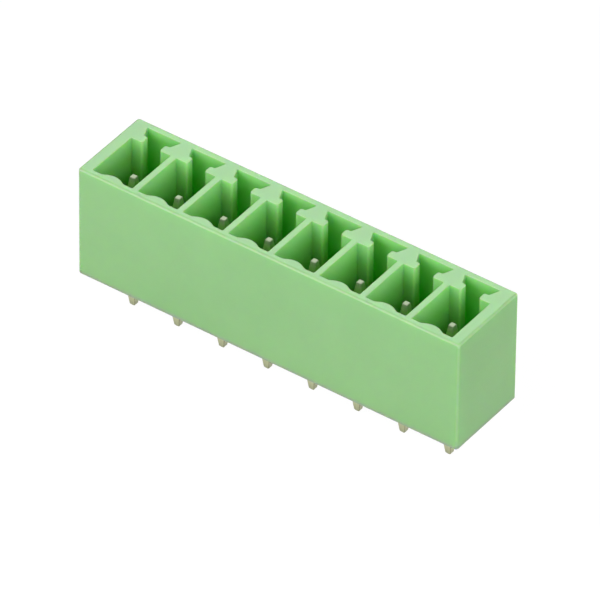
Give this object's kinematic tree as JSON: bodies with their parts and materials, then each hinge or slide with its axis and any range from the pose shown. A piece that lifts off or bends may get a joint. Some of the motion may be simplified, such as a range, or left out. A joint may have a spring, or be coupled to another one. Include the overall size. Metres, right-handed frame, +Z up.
{
  "type": "pin header",
  "caption": "Upright shrouded board connector: a green moulded housing with a row of keyed open-top pockets and a square tinned solder pin in each, for a plug-in terminal block.",
  "frame": {"origin": "on the board surface, at the middle of the contact row", "axes": "+X along the contact row, +Y from the front wall to the keyed back wall, +Z up from the board towards the plug"},
  "size_m": [0.0318, 0.0071, 0.0127],
  "materials": {
    "green_plastic": "satin moulded polyamide",
    "tinned_contact": "satin tin plating over a copper alloy"
  },
  "bodies": {
    "root": {"housing": "green_plastic", "pin_1": "tinned_contact", "pin_2": "tinned_contact", "pin_3": "tinned_contact", "pin_4": "tinned_contact", "pin_5": "tinned_contact", "pin_6": "tinned_contact", "pin_7": "tinned_contact", "pin_8": "tinned_contact"}
  },
  "joints": []
}
